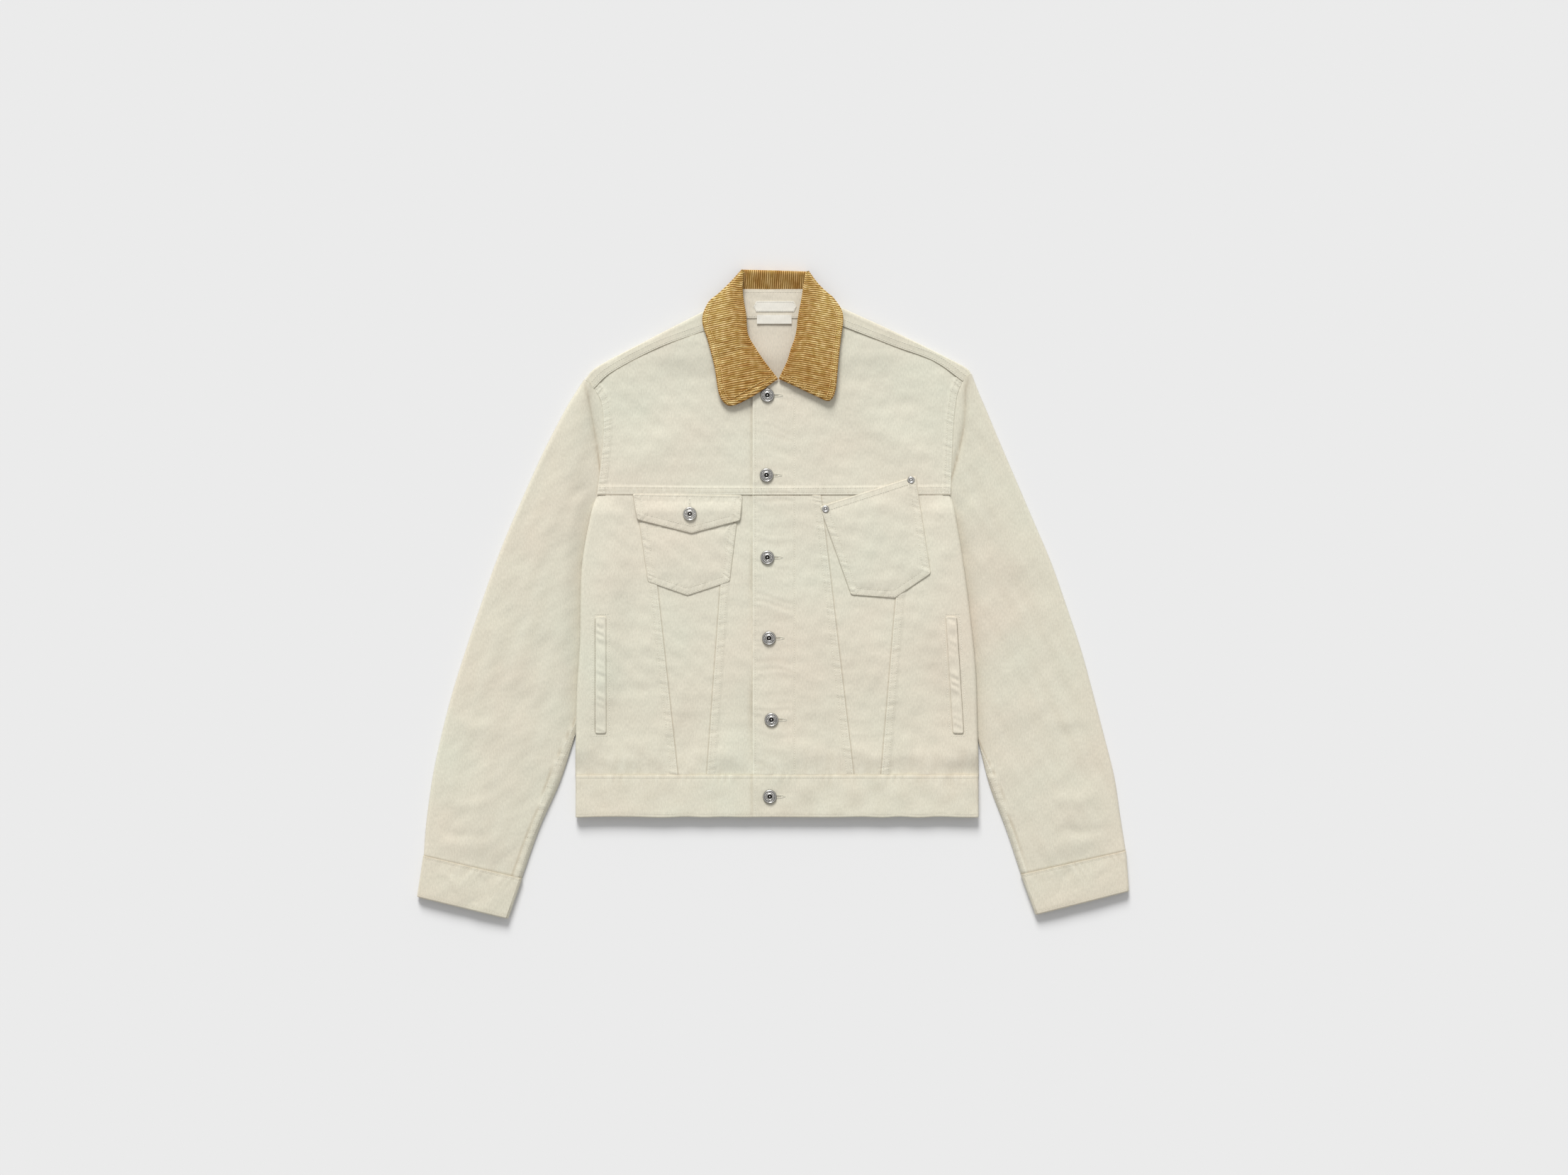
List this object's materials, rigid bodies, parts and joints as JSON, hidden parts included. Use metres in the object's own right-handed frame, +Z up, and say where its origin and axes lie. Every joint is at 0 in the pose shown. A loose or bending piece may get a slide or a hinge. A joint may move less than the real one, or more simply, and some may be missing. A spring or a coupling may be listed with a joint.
{
  "type": "corduroy-collar jacket, laid flat",
  "caption": "Cream twill jacket with an ochre corduroy collar, buttoned and laid flat on its back, sleeves at its sides.",
  "frame": {"origin": "centre of the laid jacket's outline, on the surface it lies on", "axes": "+X to the viewer's right across the jacket, +Y from hem to collar, +Z up from the surface"},
  "size_m": [0.8826, 0.8046, 0.0153],
  "materials": {
    "cream_twill": "washed cotton twill, matt, slightly mottled",
    "ochre_corduroy": "wide-wale cotton corduroy with a soft nap",
    "label_tape": "plain woven label tape, unlettered",
    "button_metal": "antique silver, cast, worn bright on its high parts"
  },
  "bodies": {
    "root": {"back_centre": "cream_twill", "back_side_left": "cream_twill", "back_side_right": "cream_twill", "back_yoke": "cream_twill", "button_1": "button_metal", "button_2": "button_metal", "button_3": "button_metal", "button_4": "button_metal", "button_5": "button_metal", "button_6": "button_metal", "care_label": "label_tape", "collar_back": "ochre_corduroy", "collar_leaf_left": "ochre_corduroy", "collar_leaf_right": "ochre_corduroy", "cuff_left": "cream_twill", "cuff_right": "cream_twill", "flap_button": "button_metal", "flap_left": "cream_twill", "front_centre_left": "cream_twill", "front_centre_right": "cream_twill", "front_middle_left": "cream_twill", "front_middle_right": "cream_twill", "front_side_left": "cream_twill", "front_side_right": "cream_twill", "front_yoke_left": "cream_twill", "front_yoke_right": "cream_twill", "neck_label": "label_tape", "neck_patch": "cream_twill", "pocket_left": "cream_twill", "pocket_right": "cream_twill", "rivet_lower": "button_metal", "rivet_upper": "button_metal", "sleeve_under_left": "cream_twill", "sleeve_under_right": "cream_twill", "sleeve_upper_left": "cream_twill", "sleeve_upper_right": "cream_twill", "waistband": "cream_twill", "welt_left": "cream_twill", "welt_right": "cream_twill"}
  },
  "joints": []
}
